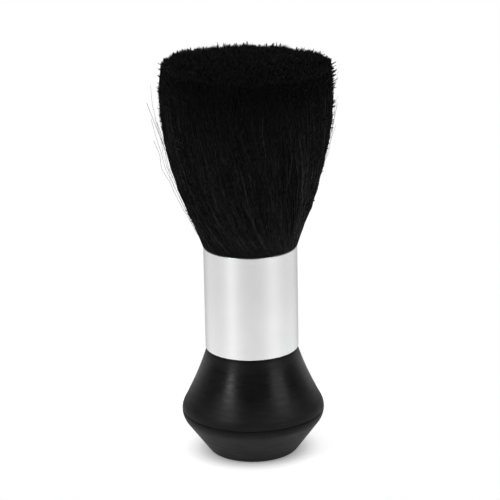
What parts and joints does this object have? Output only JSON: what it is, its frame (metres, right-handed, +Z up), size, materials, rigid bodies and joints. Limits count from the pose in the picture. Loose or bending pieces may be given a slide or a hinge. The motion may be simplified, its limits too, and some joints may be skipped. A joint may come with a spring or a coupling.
{
  "type": "neck duster brush",
  "caption": "Free-standing neck duster: a fan of soft black hair in an aluminium ferrule, on a weighted cone-shaped base; the hair bends at the ferrule's mouth.",
  "frame": {"origin": "centre of the underside of the foot, on the brush's axis", "axes": "+Z up along the axis from the foot to the hair; the brush is round about Z, and the hair bends from side to side, along X"},
  "size_m": [0.064, 0.064, 0.15],
  "materials": {
    "base_plastic": "satin black moulded plastic",
    "aluminium": "satin anodised",
    "hair": "matte black natural hair",
    "steel": "zinc-plated steel",
    "brass": "plain brass",
    "resin": "gloss amber resin",
    "plug_plastic": "matte off-white plastic",
    "cord": "matte twisted thread",
    "rubber": "matte black rubber"
  },
  "bodies": {
    "handle": {"base_shell": "base_plastic", "base_cap": "base_plastic", "ballast_disc": "steel", "foot_pad": "rubber", "tie_washer": "steel", "tie_screw": "steel", "threaded_insert": "brass", "ferrule": "aluminium", "core_plug": "plug_plastic", "resin_plug": "resin", "hair_roots": "hair", "binding_cord": "cord"},
    "tuft": {"hair_tuft": "hair"}
  },
  "joints": [
    {"name": "tuft_bend", "type": "hinge", "parent": "handle", "child": "tuft", "pos_m": [0, 0, 0.086], "axis": [0, 1, 0], "range_deg": [-20, 20], "stiffness_Nm_per_rad": 0.15}
  ]
}
